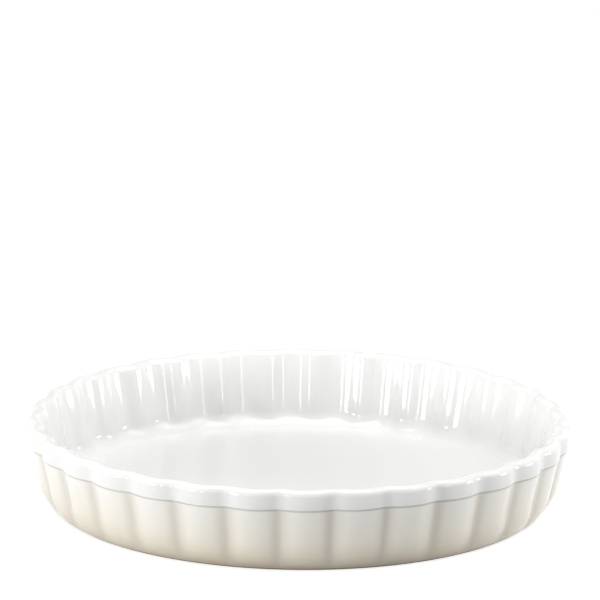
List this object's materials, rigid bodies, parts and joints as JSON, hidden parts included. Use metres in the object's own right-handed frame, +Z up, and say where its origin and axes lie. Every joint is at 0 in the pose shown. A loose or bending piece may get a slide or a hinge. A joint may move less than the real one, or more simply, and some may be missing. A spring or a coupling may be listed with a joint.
{
  "type": "fluted quiche dish",
  "caption": "Round shallow baking dish with fluted leaning walls, a plain collar round the rim and a ring foot, for baking and serving open tarts.",
  "frame": {"origin": "centre of the foot ring's resting plane", "axes": "+Z up along the dish's axis; one flute crown looks along +Y and the one across from it along -Y"},
  "size_m": [0.28, 0.28, 0.0445],
  "materials": {
    "white_glaze": "gloss white glaze on fired stoneware, left bare on the foot ring",
    "cream_glaze": "gloss cream glaze, paler under the rim band and warmer towards the foot"
  },
  "bodies": {
    "root": {"dish_body": "white_glaze", "outer_glaze": "cream_glaze"}
  },
  "joints": []
}
